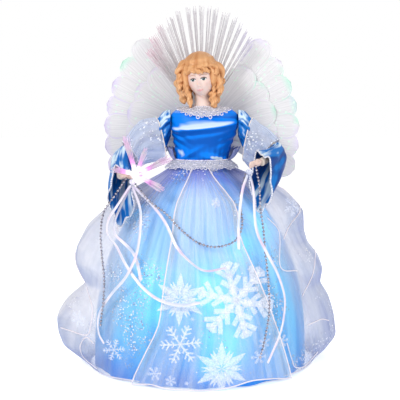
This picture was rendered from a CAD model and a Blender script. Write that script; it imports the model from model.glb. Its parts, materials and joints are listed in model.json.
# %% [markdown]
# # A fibre optic angel tree topper, dressed and lit
# The rigid parts come from CAD, so this lesson only loads them. What is made here is what
# cloth, hair, lace, film and light look like. Everything stands in the CAD frame: +Z is up,
# the angel looks towards -Y, and "left" is the picture's left, at -X.

# %% Load the frame
import json
import math
import random

import bpy
from mathutils import Matrix, Vector

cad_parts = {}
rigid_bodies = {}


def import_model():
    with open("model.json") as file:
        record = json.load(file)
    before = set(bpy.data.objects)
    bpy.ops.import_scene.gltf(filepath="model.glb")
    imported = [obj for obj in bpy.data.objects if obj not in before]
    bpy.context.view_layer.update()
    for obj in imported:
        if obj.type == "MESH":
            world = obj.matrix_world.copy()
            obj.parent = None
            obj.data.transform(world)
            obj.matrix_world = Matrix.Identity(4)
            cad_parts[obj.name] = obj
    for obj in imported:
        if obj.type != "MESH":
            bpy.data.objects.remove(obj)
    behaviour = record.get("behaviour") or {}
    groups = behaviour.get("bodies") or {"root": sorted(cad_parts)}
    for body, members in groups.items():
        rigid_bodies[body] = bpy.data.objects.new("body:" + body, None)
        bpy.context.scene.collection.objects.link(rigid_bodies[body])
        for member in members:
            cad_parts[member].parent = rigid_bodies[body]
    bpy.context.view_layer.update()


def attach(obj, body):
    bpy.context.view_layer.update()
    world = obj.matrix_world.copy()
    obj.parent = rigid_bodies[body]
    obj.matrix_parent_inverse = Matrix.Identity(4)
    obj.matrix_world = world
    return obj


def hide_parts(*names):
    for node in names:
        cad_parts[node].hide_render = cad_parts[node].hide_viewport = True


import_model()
MM = 0.001
random.seed(7)

# %% [markdown]
# ## Camera
# The picture was taken a little from above with a long lens, so verticals stay straight.
# The height of the lens and its tilt were fitted to the oval of the hem.

# %% Camera
camera = bpy.data.objects.new("camera", bpy.data.cameras.new("camera"))
bpy.context.scene.collection.objects.link(camera)
lens_away, lens_height, tilt_deg = 1.1, 0.33, 7.32
focal_mm, film_mm = 87.75, 36
camera.location = (0, -lens_away, lens_height)
camera.rotation_euler = (math.radians(90 - tilt_deg), 0, 0)
camera.data.lens, camera.data.sensor_width = focal_mm, film_mm
bpy.context.scene.camera = camera
print("camera at", tuple(camera.location))

# %% [markdown]
# ## Curves through points
# CAD drew its routes as centripetal Catmull-Rom curves. The same rule here makes a ribbon
# or a sleeve lie exactly where its solid lies.


# %% Curve helpers
def clamped(value):
    return min(max(value, 0), 1)


def curve_point(points, t):
    place = clamped(t) * (len(points) - 1)
    first = min(int(place), len(points) - 2)
    share = place - first
    p1, p2 = points[first], points[first + 1]
    p0 = points[first - 1] if first else p1 * 2 - p2
    p3 = points[first + 2] if first + 2 < len(points) else p2 * 2 - p1
    d0, d1, d2 = ((b - a).length ** 0.5 or 1 for a, b in ((p0, p1), (p1, p2), (p2, p3)))
    m1 = ((p1 - p0) / d0 - (p2 - p0) / (d0 + d1) + (p2 - p1) / d1) * d1
    m2 = ((p2 - p1) / d1 - (p3 - p1) / (d1 + d2) + (p3 - p2) / d2) * d1
    square, cube = share * share, share**3
    return (
        p1 * (2 * cube - 3 * square + 1) + m1 * (cube - 2 * square + share)
        + p2 * (3 * square - 2 * cube) + m2 * (cube - square)
    )


def curve_tangent(points, t):
    low, high = max(t - 0.0001, 0), min(t + 0.0001, 1)
    return (curve_point(points, high) - curve_point(points, low)).normalized()


def table_at(rows, t):
    for (t0, v0), (t1, v1) in zip(rows, rows[1:]):
        if t <= t1:
            return v0 + (v1 - v0) * (t - t0) / (t1 - t0)
    return rows[-1][1]


def hump(offset, spread):
    """One at no offset, falling smoothly to nothing beyond the spread."""
    return math.exp(-((offset / spread) ** 2))


def length_of(points):
    return sum((b - a).length for a, b in zip(points, points[1:]))


# %% [markdown]
# ## Making and finishing pieces
# A sheet starts as a flat grid, whose points are moved onto a surface given by u and v. The
# grid keeps its UV map, so a weave can follow the cloth. Solidify gives it a thickness and
# Subdivision Surface rounds it. A tube starts as a curve with a round bevel.


# %% Piece helpers
def only(piece):
    bpy.ops.object.select_all(action="DESELECT")
    piece.select_set(True)
    bpy.context.view_layer.objects.active = piece


def apply_modifier(piece, kind, **settings):
    only(piece)
    modifier = piece.modifiers.new(kind.title(), kind)
    for key, value in settings.items():
        setattr(modifier, key, value)
    bpy.ops.object.modifier_apply(modifier=modifier.name)


def smooth(piece, angle):
    only(piece)
    bpy.ops.object.shade_smooth_by_angle(angle=math.radians(angle))


def primitive(operator, **settings):
    """Add one primitive mesh with nothing else selected, and return it."""
    bpy.ops.object.select_all(action="DESELECT")
    operator(**settings)
    return bpy.context.object


def in_scene(name, data):
    item = bpy.data.objects.new(name, data)
    bpy.context.scene.collection.objects.link(item)
    return item


def merged(piece, outward):
    """Merge points that coincide, and turn the faces outwards where that is wanted."""
    only(piece)
    bpy.ops.object.mode_set(mode="EDIT")
    bpy.ops.mesh.select_all(action="SELECT")
    bpy.ops.mesh.remove_doubles(threshold=0.00001)
    if outward:
        bpy.ops.mesh.normals_make_consistent(inside=False)
    bpy.ops.object.mode_set(mode="OBJECT")


def cloth(name, columns, rows, surface, thickness, levels=1):
    """A grid bent onto surface(u, v) in millimetres, then thickened and rounded."""
    piece = primitive(bpy.ops.mesh.primitive_grid_add, x_subdivisions=columns, y_subdivisions=rows, size=2)
    piece.name = piece.data.name = name
    for vertex in piece.data.vertices:
        u, v = (vertex.co.x + 1) / 2, (vertex.co.y + 1) / 2
        vertex.co = Vector(surface(u, v)) * MM
    merged(piece, outward=True)
    if thickness:
        apply_modifier(piece, "SOLIDIFY", thickness=thickness * MM, offset=0, use_even_offset=False)
    if levels:
        apply_modifier(piece, "SUBSURF", levels=levels, render_levels=levels)
    smooth(piece, 60)
    return piece


def tubes(name, paths, radius, sides):
    """Round tubes along paths of points in millimetres, as one mesh with closed ends."""
    curve = bpy.data.curves.new(name, "CURVE")
    curve.dimensions = "3D"
    curve.bevel_depth = radius * MM
    curve.bevel_resolution = sides // 2 - 2
    curve.use_fill_caps = True
    for path in paths:
        spline = curve.splines.new("POLY")
        spline.points.add(len(path) - 1)
        for i, place in enumerate(path):
            spline.points[i].co = (*(Vector(place) * MM), 1)
    piece = in_scene(name, curve)
    only(piece)
    bpy.ops.object.convert(target="MESH")
    smooth(piece, 50)
    return piece


def copies(name, model, places):
    """One mesh with the model, in metres, at each of the given matrices."""
    points = [vertex.co.copy() for vertex in model.data.vertices]
    faces = [list(face.vertices) for face in model.data.polygons]
    all_points, all_faces = [], []
    for matrix in places:
        start = len(all_points)
        all_points += [matrix @ point for point in points]
        all_faces += [[start + i for i in face] for face in faces]
    mesh = bpy.data.meshes.new(name)
    mesh.from_pydata(all_points, [], all_faces)
    piece = in_scene(name, mesh)
    bpy.data.objects.remove(model)
    smooth(piece, 50)
    return piece


def joined(name, pieces):
    bpy.ops.object.select_all(action="DESELECT")
    for piece in pieces:
        piece.select_set(True)
    bpy.context.view_layer.objects.active = pieces[0]
    bpy.ops.object.join()
    pieces[0].name = pieces[0].data.name = name
    return pieces[0]


def painted(piece, paint_at):
    """Store a colour at every point of a piece, from a function of its place in millimetres."""
    layer = piece.data.color_attributes.new("paint", "FLOAT_COLOR", "POINT")
    for vertex, spot in zip(piece.data.vertices, layer.data):
        spot.color = paint_at(vertex.co / MM)


def fitted(piece, material, body, slot, *nodes):
    """Give a finished piece its material, its body and the CAD nodes it stands for."""
    if material:
        piece.data.materials.clear()
        piece.data.materials.append(material)
    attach(piece, body)
    if nodes:
        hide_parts(*nodes)
    print(piece.name, len(piece.data.polygons), "faces on", body)
    return piece


# %% [markdown]
# ## Colours and nodes
# Colours are written as they look on a screen and turned to linear light by one function.
# One helper adds a node with its settings, values and links. A texture's scale counts its
# grains along one metre, so 900 is a grain of about 1.1 mm.


# %% Material helpers
def colour(code, alpha=1.0):
    parts = [int(code[i : i + 2], 16) / 255 for i in (1, 3, 5)]
    return (*(c / 12.92 if c <= 0.04045 else ((c + 0.055) / 1.055) ** 2.4 for c in parts), alpha)


usual_output = {
    "ShaderNodeTexCoord": "Object", "ShaderNodeTexWave": "Fac", "ShaderNodeVectorMath": "Value",
    "ShaderNodeNewGeometry": "Normal", "ShaderNodeLayerWeight": "Facing", "ShaderNodeAmbientOcclusion": "AO",
    "ShaderNodeMix": 2,
}


def socket_of(value):
    """A node stands for its usual output, which is its first unless the table names another."""
    if isinstance(value, bpy.types.Node):
        return value.outputs[usual_output.get(value.bl_idname, 0)]
    return value


def add_node(material, kind, inputs=None, stops=(), **settings):
    """A new node with its ramp's stops, its settings, and a value or a link for each input."""
    tree = material.node_tree
    node = tree.nodes.new("ShaderNode" + kind)
    for key, value in settings.items():
        setattr(node, key, value)
    for i, (place, code) in enumerate(stops):
        ends = node.color_ramp.elements
        stop = ends[i] if i < 2 else ends.new(place)
        stop.position, stop.color = place, colour(code)
    for key, value in (inputs or {}).items():
        value = socket_of(value)
        if isinstance(value, bpy.types.NodeSocket):
            tree.links.new(value, node.inputs[key])
        else:
            node.inputs[key].default_value = value
    return node


def drive(shader, **sources):
    """Let a node set each named input of a shader."""
    for key, source in sources.items():
        shader.id_data.links.new(socket_of(source), shader.inputs[key.replace("_", " ")])


def new_material(name, code, **sockets):
    """A material, its Principled shader with plain values, and add, which adds nodes to it."""
    material = bpy.data.materials.new(name)
    material.use_nodes = True
    shader = material.node_tree.nodes["Principled BSDF"]
    shader.inputs["Base Color"].default_value = colour(code)
    for key, value in sockets.items():
        shader.inputs[key.replace("_", " ")].default_value = value
    material.diffuse_color = colour(code)

    def add(kind, inputs=None, stops=(), **settings):
        return add_node(material, kind, inputs, stops, **settings)

    return material, shader, add


def grained(name, code, scale, stops=(), relief=None, detail=2.0, **sockets):
    """A finish whose tint and relief come from one fine noise."""
    material, shader, add = new_material(name, code, **sockets)
    grain = add("TexNoise", {"Vector": add("TexCoord"), "Scale": scale, "Detail": detail})
    if stops:
        drive(shader, Base_Color=add("ValToRGB", {"Fac": grain}, stops=stops))
    if relief:
        strength, distance = relief
        drive(shader, Normal=add("Bump", {"Height": grain, "Strength": strength, "Distance": distance}))
    return material, shader, add


# %% [markdown]
# ## Weave, glitter and gloss
# Satin is woven so that long shiny threads lie on top: highlights are broad and pale, and the
# colour deepens in the hollows. Thread spacing is about 0.1 mm, drawn here at 0.5 mm so that
# the render can show it.


# %% Satin
KEY_SIDE = (-0.2, -0.5, 0.84)  # the way towards the key light


def weave_height(material, spacing_mm, u_size_mm, v_size_mm):
    """Crossing threads along a piece's own UV map, as a height from 0 to 1."""
    uv = add_node(material, "UVMap", uv_map="UVMap")
    size = (u_size_mm / spacing_mm, v_size_mm / spacing_mm, 1)
    placed = add_node(material, "Mapping", {"Vector": uv, "Scale": size})
    warp = add_node(material, "TexWave", {"Vector": placed, "Scale": 1.0}, bands_direction="X")
    weft = add_node(material, "TexWave", {"Vector": placed, "Scale": 1.0}, bands_direction="Y")
    return add_node(material, "Math", {0: warp, 1: weft}, operation="MULTIPLY")


def satin(name, deep_code, code, pale_code, wide_mm, high_mm, gathers=0):
    """Satin is pale where it faces the key light, and deep in its hollows.

    With gathers the pale and deep streaks follow the cloth; without, painted light shifts them."""
    material, shader, add = new_material(name, code, Roughness=0.36, Specular_IOR_Level=0.14)
    place = add("TexCoord")
    where, size, swing = place, 34.0, 0.5
    if gathers:
        uv = add("UVMap", uv_map="UVMap")
        where = add("Mapping", {"Vector": uv, "Scale": (gathers, 1.3, 1.0)})
        size, swing = 1.0, 2.6
    cloud = add("TexNoise", {"Vector": where, "Scale": size, "Distortion": 0.4})
    surface = add("NewGeometry")
    facing = add("VectorMath", {0: surface, 1: KEY_SIDE}, operation="DOT_PRODUCT")
    drift = add("Math", {0: cloud, 1: swing, 2: -swing / 2}, operation="MULTIPLY_ADD")
    level = add("Math", {0: facing, 1: drift}, operation="ADD")
    if not gathers:
        paint = add("VertexColor", layer_name="paint")
        shift = add("Math", {0: paint, 1: -0.5}, operation="ADD")
        level = add("Math", {0: level, 1: shift}, operation="ADD")
    tint = add("ValToRGB", {"Fac": level},
        stops=((0.08, deep_code), (0.42, code), (0.68, code), (0.98, pale_code)))
    height = weave_height(material, 0.5, wide_mm, high_mm)
    threads = add("Bump", {"Height": height, "Strength": 0.1, "Distance": 0.0002})
    drive(shader, Base_Color=tint, Normal=threads)
    return material


bodice_satin = satin("satin bodice", "#005CC0", "#0082F4", "#D2E6F7", 260, 60)
sleeve_satin = satin("satin sleeves", "#00408E", "#1874C8", "#D8EDFB", 120, 60, 9.0)
print("satins", bodice_satin.name, sleeve_satin.name)

# %% [markdown]
# ## Cords first: beads and ribbons
# Four strands of small silver beads and six narrow ribbons hang from the hands. A bead strand
# is a thread with beads in one mesh, so that it moves as one, and a ribbon is a narrow sheet
# that keeps its flat side on the skirt.

# %% Routes, repeated from CAD in millimetres
routes = {
    "bead_strand_left": [
        (-79.5, -57.7, 219), (-91, -67, 202), (-103, -66, 184), (-107, -62, 160), (-106, -62, 135),
        (-103.5, -66, 112), (-104, -74, 88), (-107, -77, 63)],
    "bead_swag_left": [
        (-69.4, -61, 213.9), (-53.4, -76, 197), (-36.2, -77, 184), (-21, -85, 169), (-5.2, -92, 157),
        (-0.4, -93, 154.6)],
    "bead_swag_right": [
        (0.4, -93, 154.4), (10.4, -93.5, 151.4), (25, -91, 151.8), (37.7, -85, 156.9),
        (44.4, -77, 169.3), (44.2, -70, 183), (43, -65, 200), (48.6, -60.2, 224)],
    "bead_strand_right": [
        (60, -57.1, 232.2), (63.5, -66, 211), (64.5, -64, 190), (68.1, -65, 165), (69.8, -76, 140),
        (72.4, -88, 111), (73.2, -94, 84), (68.3, -100, 53.6), (63.5, -104, 35.4)],
    "ribbon_left_1": [
        (-73.2, -60.6, 211.8), (-64, -72, 190), (-63, -77, 174), (-67, -84, 142.5), (-78.2, -86, 118),
        (-95, -77, 97), (-107, -70, 78), (-111, -67, 64), (-109.5, -68, 50), (-104, -71, 40.6)],
    "ribbon_left_2": [
        (-72.6, -59.8, 212.2), (-51.5, -70, 193), (-37, -76, 174.6), (-25, -88, 151.3),
        (-13.8, -96, 139.5), (4.1, -103, 128), (26.9, -101, 130.4)],
    "ribbon_left_3": [
        (-74.5, -62.2, 212.8), (-88, -71, 192), (-98, -69, 176), (-99.5, -64.5, 160),
        (-90.2, -64, 147), (-78.5, -78, 128.8), (-60.4, -94, 108.7), (-41.2, -106, 97),
        (-17.4, -112, 93), (0, -113, 96.3)],
    "ribbon_left_4": [
        (-73.8, -61.4, 212.6), (-85, -66.5, 190), (-92, -65, 172), (-91.1, -61, 159),
        (-80.6, -64, 150), (-69, -75, 139), (-61.5, -88, 114)],
    "ribbon_right_1": [
        (51, -60.7, 223.8), (45.5, -70, 209.6), (42.6, -75, 190), (40.8, -83, 172), (40.7, -94, 148.5)],
    "ribbon_right_2": [
        (53.8, -58.3, 223), (57, -68, 207), (58.4, -71, 180), (61, -77, 163), (70, -85, 144.6),
        (82.8, -80, 119.2), (90, -80, 96), (90, -83, 80), (85.5, -90, 58.6), (71, -104, 28.7)],
}
routes = {name: [Vector(place) for place in route] for name, route in routes.items()}


def evenly(route, step):
    """Points along a route, a fixed step apart, with the end included."""
    fine = [curve_point(route, i / 400) for i in range(401)]
    whole = length_of(fine)
    count = max(round(whole / step), 2)
    places, walked, goal = [fine[0]], 0.0, 1
    for a, b in zip(fine, fine[1:]):
        walked += (b - a).length
        while goal < count and walked >= whole * goal / count:
            places.append(b.copy())
            goal += 1
    return places + [fine[-1]]


print({name: round(length_of(evenly(route, 2))) for name, route in routes.items()})

# %% Bead strands
# Vacuum plated beads: each is a small dull mirror, so it shows one light and one dark side.
bead_silver, _, _ = grained(
    "plated bead", "#8E9198", 900.0, ((0.38, "#5E5A64"), (0.6, "#C9C4CE")), Metallic=0.85, Roughness=0.22)
bead_pitch, bead_radius, thread_radius = 4.0, 1.45, 0.4
for name, body, length in (
    ("bead_strand_left", "left_arm", 0.168), ("bead_swag_left", "left_arm", 0.099),
    ("bead_swag_right", "right_arm", 0.115), ("bead_strand_right", "right_arm", 0.207),
):
    route = routes[name] if name != "bead_swag_right" else routes[name][::-1]
    path = evenly(route, bead_pitch)
    bead = primitive(bpy.ops.mesh.primitive_uv_sphere_add, segments=8, ring_count=6, radius=bead_radius * MM)
    beads = copies(name + "_beads", bead, [
        Matrix.Translation(place * MM) @ Matrix.Rotation(i * 0.9, 4, "X") for i, place in enumerate(path)])
    thread = tubes(name + "_thread", [evenly(route, 1.4)], thread_radius, 6)
    strand = fitted(joined("beads_of_" + name, [beads, thread]), bead_silver, body, "silver_beads", name)
    "object" if "swag" in name else "bare"

# %% Ribbons
# Woven polyester ribbon with a pearl coat: its tint drifts between blue, cream and pink.
ribbon_width, depth_share = 3.4, 0.88
pearl_ribbon, shader, add = grained(
    "pearl ribbon", "#E6E0F0", 45.0, ((0.3, "#D0DAF2"), (0.5, "#EEE9F5"), (0.7, "#E2CFEA")),
    Roughness=0.3, Metallic=0.1, Sheen_Weight=0.3)
weave = weave_height(pearl_ribbon, 0.4, ribbon_width, 150)
drive(shader, Normal=add("Bump", {"Height": weave, "Strength": 0.2, "Distance": 0.0001}))


def ribbon_point(route, u, v, turned_deg):
    """A point across a ribbon that lies flat on the bell, and turns on its edge lower down."""
    place = curve_point(route, v)
    outward = Vector((place.x, place.y / depth_share**2, 0)).normalized()
    across = curve_tangent(route, v).cross(outward).normalized()
    turn = math.radians(turned_deg) * clamped((v - 0.42) * 4)
    side = across * math.cos(turn) + outward * math.sin(turn)
    cup = 0.25 * (1 - (2 * u - 1) ** 2) + 0.5 * ribbon_width * math.sin(turn)
    return place + side * (u - 0.5) * ribbon_width + outward * cup


for name, body, length, turned_deg in (
    ("ribbon_left_1", "left_arm", 0.196, 0), ("ribbon_left_2", "left_arm", 0.147, 58),
    ("ribbon_left_3", "left_arm", 0.204, 40), ("ribbon_left_4", "left_arm", 0.122, 50),
    ("ribbon_right_1", "right_arm", 0.084, 0), ("ribbon_right_2", "right_arm", 0.216, 10),
):
    route = routes[name]
    rows = 5 * len(route)
    ribbon = cloth("satin_" + name, 4, rows, lambda u, v: ribbon_point(route, u, v, turned_deg), 0.4)
    fitted(ribbon, pearl_ribbon, body, "pearl_ribbon", name)
    [place * MM for place in evenly(route, 3)]


# %% [markdown]
# ## The dress hangs on a bell
# The satin skirt, the organza apron and both flounces are layers on one bell. Its radius grows
# as one minus the cube of the height, so it is steep at the hem and closes fast at the waist.
# Every layer is that bell plus an offset, which keeps them from cutting each other.

# %% The bell
skirt_height, skirt_radius, waist_radius = 230, 119, 26
cloth_top, flounce_hem = 228, 2
row_start, row_bend = 1.35, 0.35
satin_folds, satin_fold_depth = 14, 3.2


def bell_radius(z):
    return waist_radius + (skirt_radius - waist_radius) * (1 - max(z, 0) ** 3 / skirt_height**3)


def on_bell(z, angle, offset):
    r = bell_radius(z) + offset
    return Vector((r * math.sin(angle), -r * math.cos(angle) * depth_share, z))


def row_height(v, hem, top):
    """Rows lie closer where the bell turns in to the waist."""
    return hem + (top - hem) * (row_start * v - row_bend * v * v)


def fold_depth(z):
    return satin_fold_depth * (1 - z / skirt_height)


def organza_inner(z):
    return fold_depth(z) + 1.8


print("bell radius", [round(bell_radius(z)) for z in (0, 60, 120, 180, 230)])

# %% [markdown]
# ## Satin skirt, lit from inside
# Lamps in the cone shine through the satin, so it glows cyan in patches and stays a deeper,
# greyer blue at the waist, where nothing lights it. The glow is an emission whose strength and
# colour come from soft blobs in Object coordinates.

# %% Lit satin
lit_satin, shader, add = new_material("lit satin skirt", "#63B4F2", Roughness=0.36, Specular_IOR_Level=0.3)
place = add("TexCoord")
split = add("SeparateXYZ", {0: place})
rise = add("MapRange", {"Value": split.outputs["Z"], "From Max": 0.23})
swirl = add("TexNoise", {"Vector": place, "Scale": 14.0, "Detail": 4.0})
wander = add("Math", {0: swirl, 1: 0.34, 2: -0.17}, operation="MULTIPLY_ADD")
level = add("Math", {0: rise, 1: wander}, operation="ADD")
shade = add("ValToRGB", {"Fac": level}, stops=(
    (0.0, "#1C7ADE"), (0.1, "#42ACF2"), (0.3, "#66D0FB"), (0.62, "#9ADDFD"), (0.86, "#A4D2FC"),
    (0.94, "#6682E6"), (1.0, "#3F52C0")))
cloth_uv = add("UVMap", uv_map="UVMap")
drawn = add("Mapping", {"Vector": cloth_uv, "Scale": (60.0, 1.6, 1.0)})
gathers = add("TexNoise", {"Vector": drawn, "Scale": 1.0, "Distortion": 0.3})
gather_share = add("MapRange", {"Value": gathers, "From Min": 0.45, "From Max": 0.66, "To Max": 0.6})
pleated = add("Mix", {0: gather_share, 6: shade, 7: colour("#2E98E8")}, data_type="RGBA")
glow_total = None
# Lit patches: the place and the reach of each, in metres.
for x, y, z, reach in (
    (-0.079, -0.03, 0.166, 0.04), (0.074, -0.033, 0.168, 0.045), (0.05, -0.085, 0.15, 0.04),
    (0.02, -0.1, 0.1, 0.06), (-0.05, -0.095, 0.1, 0.05), (0.02, -0.105, 0.04, 0.05),
    (0.08, 0.05, 0.12, 0.07), (-0.08, 0.05, 0.12, 0.07),
):
    away = add("VectorMath", {0: place, 1: (x, y, z)}, operation="DISTANCE")
    blob = add("MapRange", {"Value": away, "From Min": reach, "From Max": reach * 0.25},
        interpolation_type="SMOOTHSTEP")
    if glow_total:
        blob = add("Math", {0: glow_total, 1: blob}, operation="MAXIMUM")
    glow_total = blob
patchy = add("MapRange", {"Value": swirl, "From Min": 0.3, "From Max": 0.62})
glow = add("Math", {0: glow_total, 1: patchy}, operation="MULTIPLY")
glow_tint = add("ValToRGB", {"Fac": glow}, stops=((0.0, "#4AA6F6"), (1.0, "#12D8FF")))
power = add("MapRange", {"Value": glow, "To Min": 0.1, "To Max": 0.6})
weave = weave_height(lit_satin, 0.6, 720, 260)
threads = add("Bump", {"Height": weave, "Strength": 0.1, "Distance": 0.0002})
drive(shader, Base_Color=pleated, Emission_Color=glow_tint, Emission_Strength=power, Normal=threads)


def satin_point(u, v):
    angle = u * 2 * math.pi
    z = row_height(v, 1.2, cloth_top)
    wave = 0.72 * math.cos(satin_folds * angle + 0.5 * math.sin(3 * angle))
    wave += 0.28 * math.cos(23 * angle + 1.4 * math.sin(5 * angle))
    return on_bell(z, angle, wave * fold_depth(z) + 0.5 * math.cos(44 * angle) * v**3)


skirt = cloth("satin_dress_skirt", 176, 36, satin_point, 0.7, 1)
fitted(skirt, lit_satin, "figure", "blue_satin", "satin_skirt")

# %% [markdown]
# ## Organza
# Organza is a thin stiff gauze. Most light passes through it and the rest is a milky lilac
# haze, so its alpha is low and rises in folds and at its edges. Silver glitter is printed on
# it: small random cells, a little over 1 mm wide, turn opaque and silvery grey or white.


# %% Gauze
def gauze(name, codes, waist_code, cover, wide_mm, high_mm, gathers, glitter, front_share=1.0):
    """Sheer cloth that covers a share of what lies behind it, with gathers and printed glitter."""
    material, shader, add = new_material(name, codes[1], Roughness=0.5, Specular_IOR_Level=0.3)
    place = add("TexCoord")
    height = add("SeparateXYZ", {0: place})
    cloud = add("TexNoise", {"Vector": place, "Scale": 22.0, "Detail": 5.0})
    uv = add("UVMap", uv_map="UVMap")
    drawn = add("Mapping", {"Vector": uv, "Scale": (gathers, 1.6, 1.0)})
    streaks = add("TexNoise", {"Vector": drawn, "Scale": 1.0, "Detail": 3.0, "Distortion": 0.5})
    threads = weave_height(material, 0.9, wide_mm, high_mm)
    haze = add("MapRange", {
        "Value": streaks, "From Min": 0.3, "From Max": 0.7, "To Min": cover * 0.55, "To Max": cover * 1.45})
    edge = add("LayerWeight", {"Blend": 0.3})
    fuller = add("Math", {0: edge, 1: 0.7, 2: haze}, operation="MULTIPLY_ADD")
    woven = add("Math", {0: threads, 1: 0.08, 2: fuller}, operation="MULTIPLY_ADD")
    along = add("SeparateXYZ", {0: uv})
    thinner = add("MapRange", {
        "Value": along.outputs["X"], "From Min": 0.14, "From Max": 0.33, "To Min": front_share})
    woven = add("Math", {0: woven, 1: thinner}, operation="MULTIPLY")
    cells = add("TexVoronoi", {"Vector": place, "Scale": 900.0})
    chance = add("SeparateColor", {0: cells.outputs["Color"]})
    fleck = add("Math", {0: chance.outputs["Red"], 1: 1 - glitter}, operation="GREATER_THAN")
    area = add("MapRange", {"Value": cloud, "From Min": 0.52, "From Max": 0.62})
    shown = add("Math", {0: fleck, 1: area}, operation="MULTIPLY")
    alpha = add("Math", {0: woven, 1: shown}, operation="MAXIMUM")
    surface = add("NewGeometry")
    facing = add("VectorMath", {0: surface, 1: KEY_SIDE}, operation="DOT_PRODUCT")
    drift = add("Math", {0: streaks, 1: 1.1, 2: -0.55}, operation="MULTIPLY_ADD")
    level = add("Math", {0: facing, 1: drift}, operation="ADD")
    fold = add("ValToRGB", {"Fac": level}, stops=((0.0, codes[0]), (0.38, codes[1]), (0.8, codes[2])))
    waist = add("MapRange", {
        "Value": height.outputs["Z"], "From Min": 0.196, "From Max": 0.226, "To Max": 0.8})
    tinted = add("Mix", {0: waist, 6: fold, 7: colour(waist_code)}, data_type="RGBA")
    metal = add("ValToRGB", {"Fac": chance.outputs["Green"]}, stops=((0.25, "#8E90B4"), (0.7, "#FFFFFF")))
    tint = add("Mix", {0: shown, 6: tinted, 7: metal}, data_type="RGBA")
    crumple = add("TexNoise", {"Vector": place, "Scale": 70.0})
    bump = add("Bump", {"Height": crumple, "Strength": 0.5, "Distance": 0.003})
    drive(shader, Base_Color=tint, Normal=bump, Alpha=alpha)
    return material


apron_gauze = gauze("apron organza", ("#B4D2F6", "#DCEDFD", "#FCFEFF"), "#747CDA", 0.13, 150, 240, 24.0, 0.02)
flounce_gauze = gauze(
    "flounce organza", ("#A8B2DA", "#CBD2E8", "#F0F0F8"), "#868EDE", 0.27, 200, 260, 18.0, 0.11, 0.22)
sleeve_gauze = gauze("sleeve organza", ("#8CAEEC", "#CEDCF8", "#FAFBFF"), "#CEDCF8", 0.33, 90, 60, 14.0, 0.1)


# Sewn edges of fine thread, a little fuzzy, with uneven stitches.
rolled_white, cream_edge = (
    grained(name, code, 700.0, relief=(0.5, 0.0003), Roughness=0.4, Sheen_Weight=0.4)[0]
    for name, code in (("rolled hem thread", "#F1E8EE"), ("cream rolled edge", "#EFE2D8"))
)
print("gauzes", apron_gauze.name, flounce_gauze.name, sleeve_gauze.name)

# %% Apron in front
apron_left = ((0, -36), (0.3, -20), (0.7, -18), (0.84, -22), (1, -14))
apron_right = ((0, 52), (0.3, 40), (0.7, 26), (0.84, 34), (1, 14))


def eased(rows, t):
    """A table read a little blurred, so that an edge has no corner."""
    return (table_at(rows, max(t - 0.05, 0)) + 2 * table_at(rows, t) + table_at(rows, min(t + 0.05, 1))) / 4


def apron_sides(z):
    return (math.radians(eased(edge, z / skirt_height)) for edge in (apron_left, apron_right))


def apron_place(u, z, lift=0.0):
    left, right = apron_sides(z)
    share = z / skirt_height
    ripple = 0.9 * (1 - share) * (1 + math.cos(10 * math.pi * u)) + 0.7 * share**2 * (1 + math.cos(70 * u))
    return on_bell(z, left + (right - left) * u, organza_inner(z) + 1.7 + ripple + lift)


def apron_point(u, v, lift=0.0):
    hem = 1.6 + 7 * math.sin(math.pi * max(0, u - 0.45) / 0.6) ** 2 + 3 * hump(u - 0.12, 0.09)
    return apron_place(u, row_height(v, hem, cloth_top), lift)


apron = cloth("organza_apron_front", 72, 40, apron_point, 0.3, 1)
fitted(apron, apron_gauze, "figure", "organza", "organza_apron")
rows = [i / 60 for i in range(61)]
hems = [[apron_point(0, v, 0.3) for v in rows], [apron_point(1, v, 0.3) for v in rows],
    [apron_point(u, 0, 0.3) for u in rows]]
apron_hem = fitted(tubes("apron_rolled_hem", hems, 0.7, 6), rolled_white, "figure", "organza")

# %% Printed snowflakes
# White paste with glitter, printed thinly: grains of uneven cover, lit a little from behind.
flake_print, shader, add = new_material("white glitter print", "#F4F6FF", Roughness=0.45,
    Emission_Color=colour("#DCE8FF"), Emission_Strength=0.22)
grains = add("TexVoronoi", {"Vector": add("TexCoord"), "Scale": 900.0})
grain = add("SeparateColor", {0: grains.outputs["Color"]})
printed = add("MapRange", {"Value": grain.outputs["Red"], "To Min": 0.2, "To Max": 0.44})
drive(shader, Alpha=printed)

# A bar of an arm, as shares of the flake's radius: from (x, y) to (x, y), its width, and 1
# where it is a pointed petal. A flake: x, z and radius in millimetres, its turn and its bars.
fern_bars = [(0, 0, 1, 0, 0.09, 0)]
for out, reach in ((0.3, 0.2), (0.52, 0.32), (0.76, 0.24)):
    for turn in (-1, 1):
        fern_bars.append((out, 0, out + reach * 0.6, turn * reach * 0.8, 0.085, 0))
plate_bars = [(0, 0, 1, 0, 0.15, 0), (0.1, 0, 0.42, 0, 0.3, 1)]
for out, reach in ((0.34, 0.34), (0.6, 0.4), (0.82, 0.2)):
    for turn in (-1, 1):
        plate_bars.append((out, 0, out + reach * 0.7, turn * reach * 0.72, 0.13, 0))
star_bars = [(0, 0, 1, 0, 0.3, 1), (0.1, 0.06, 0.66, 0.3, 0.14, 1), (0.1, -0.06, 0.66, -0.3, 0.14, 1)]
flakes = (
    (-20.4, 50.6, 22, 6, fern_bars), (22.6, 24.5, 30, 30, star_bars), (38, 95, 41, 46, plate_bars),
    (-21, 97, 28, 28, star_bars), (-48, 17, 8, 10, fern_bars), (-30.5, 11, 6, 40, fern_bars),
    (62, 33.5, 8, 0, fern_bars), (68, 47.5, 7, 25, fern_bars), (17, 193, 5, 20, plate_bars),
    (-8, 77, 2.2, 0, plate_bars), (-14, 9, 2.2, 0, plate_bars),
)


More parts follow.
